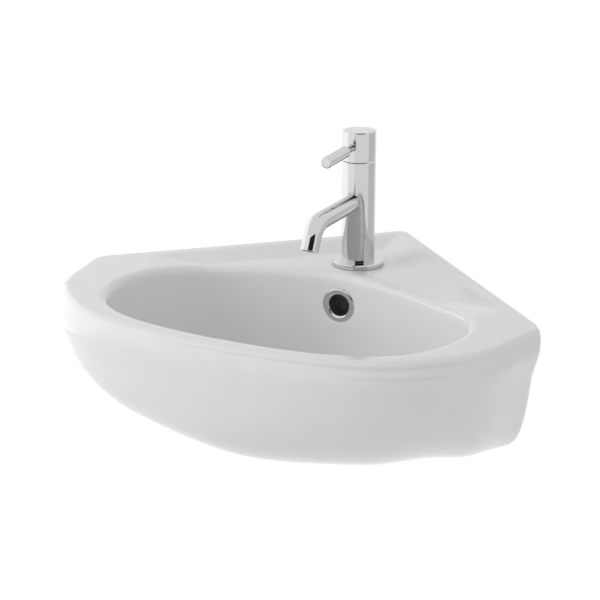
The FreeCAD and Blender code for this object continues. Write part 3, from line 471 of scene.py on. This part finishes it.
# ---------------------------------------------------------------- studio
# A pale floor where the room's floor would be, a white surround, one soft light from the left, and
# grey and black screens round the camera that give the chrome something to reflect.
camera = bpy.data.objects.new("camera", bpy.data.cameras.new("camera"))
bpy.context.scene.collection.objects.link(camera)
camera.data.lens = 89.35
camera.data.sensor_width = 36
turn, rise, roll = math.radians(28.0), math.radians(18.13), math.radians(-0.05)
camera.matrix_world = (Matrix.Translation((0.5889, -1.3331, 0.4019)) @ Matrix.Rotation(turn, 4, "Z")
                       @ Matrix.Rotation(math.pi / 2 - rise, 4, "X") @ Matrix.Rotation(roll, 4, "Z"))
bpy.context.scene.camera = camera


def seen_directly(tree):
    """A socket that is 1 for rays from the camera and for rays from metal or glass."""
    path = add_node(tree, "LightPath")
    sight, metal, glass = (path.outputs[f"Is {kind} Ray"] for kind in ("Camera", "Glossy", "Transmission"))
    either = add_node(tree, "Math", {0: sight, 1: metal}, operation="MAXIMUM")
    return add_node(tree, "Math", {0: either.outputs[0], 1: glass}, operation="MAXIMUM").outputs[0]


# The room's light comes a little more from the walls than from the ceiling.
OVERHEAD, SIDEWAYS = 0.57, 0.84
world = bpy.data.worlds.new("studio")
bpy.context.scene.world = world
world.use_nodes = True
tree = world.node_tree
tree.nodes.clear()
way = add_node(tree, "TexCoord").outputs["Generated"]
height = add_node(tree, "SeparateXYZ", {"Vector": way}).outputs["Z"]
ambient = add_node(tree, "MapRange", {"Value": height, "To Min": SIDEWAYS, "To Max": OVERHEAD})
level = add_node(tree, "Mix", {0: seen_directly(tree), 2: ambient.outputs["Result"], 3: 1.0})
back = add_node(tree, "Background", {"Color": (1, 1, 1, 1), "Strength": level.outputs["Result"]})
add_node(tree, "OutputWorld", {"Surface": back.outputs[0]})


def stage_sheet(name, width, height, where, material):
    """A flat sheet of the studio, placed by a matrix."""
    bm = bmesh.new()
    bmesh.ops.create_grid(bm, x_segments=1, y_segments=1, size=0.5)
    bmesh.ops.scale(bm, vec=(width, height, 1), verts=bm.verts)
    bmesh.ops.transform(bm, matrix=where, verts=bm.verts)
    mesh = bpy.data.meshes.new(name)
    bm.to_mesh(mesh)
    bm.free()
    mesh.materials.append(material)
    sheet = bpy.data.objects.new(name, mesh)
    bpy.context.scene.collection.objects.link(sheet)
    return sheet


paper = bpy.data.materials.new("pale_floor_paper")
paper.use_nodes = True
tree = paper.node_tree
tree.nodes.clear()
matt = add_node(tree, "BsdfDiffuse", {"Color": linear("ececec")})
white = add_node(tree, "Emission", {"Strength": 1.0})
blend = add_node(tree, "MixShader", {0: seen_directly(tree), 1: matt.outputs[0], 2: white.outputs[0]})
add_node(tree, "OutputMaterial", {"Surface": blend.outputs[0]})
stage_sheet("floor", 14, 14, Matrix.Translation((0, 0, -0.85)), paper)


def screen(name, start, stop, low, high, away, grey):
    """A flat screen that only reflections show.

    It spans two bearings from the tap, in degrees, and two heights, at a distance in metres.
    """
    material = bpy.data.materials.new(name)
    material.use_nodes = True
    tree = material.node_tree
    tree.nodes.clear()
    level = add_node(tree, "Emission", {"Strength": grey})
    add_node(tree, "OutputMaterial", {"Surface": level.outputs[0]})
    middle, half = math.radians((start + stop) / 2), math.radians((stop - start) / 2)
    where = (Matrix.Translation((0, TAP.y / 1000, 0)) @ Matrix.Rotation(middle, 4, "Z")
             @ Matrix.Translation((0, -away, (low + high) / 2)) @ Matrix.Rotation(math.pi / 2, 4, "X"))
    sheet = stage_sheet(name, 2 * away * math.tan(half), high - low, where, material)
    sheet.visible_camera = False
    sheet.visible_diffuse = False
    sheet.visible_shadow = False


screen("bright_screen_left", -122, -56, -0.8, 1.3, 1.6, 1.45)
screen("pale_screen_left", -54, -6, -0.8, 1.3, 1.6, 1.15)
screen("grey_screen_right", 94, 156, -0.8, 0.3, 1.6, 0.74)
screen("dark_room_in_front", 4, 66, 0.22, 1.1, 1.5, 0.02)
screen("dark_gap_behind", 190, 210, 0.80, 0.84, 1.5, 0.02)


def lamp(name, at, aim, size, power):
    """A soft rectangular light."""
    light = bpy.data.lights.new(name, "AREA")
    light.shape = "RECTANGLE"
    light.size, light.size_y = size
    light.energy = power
    made = bpy.data.objects.new(name, light)
    bpy.context.scene.collection.objects.link(made)
    way = Vector(aim) - Vector(at)
    made.matrix_world = Matrix.Translation(at) @ way.to_track_quat("-Z", "Y").to_matrix().to_4x4()
    made.visible_glossy = False


lamp("key", (-1.23, -1.06, 0.50), (0, -0.2, -0.05), (0.9, 0.9), 9)

bpy.context.scene.view_settings.view_transform = "Standard"
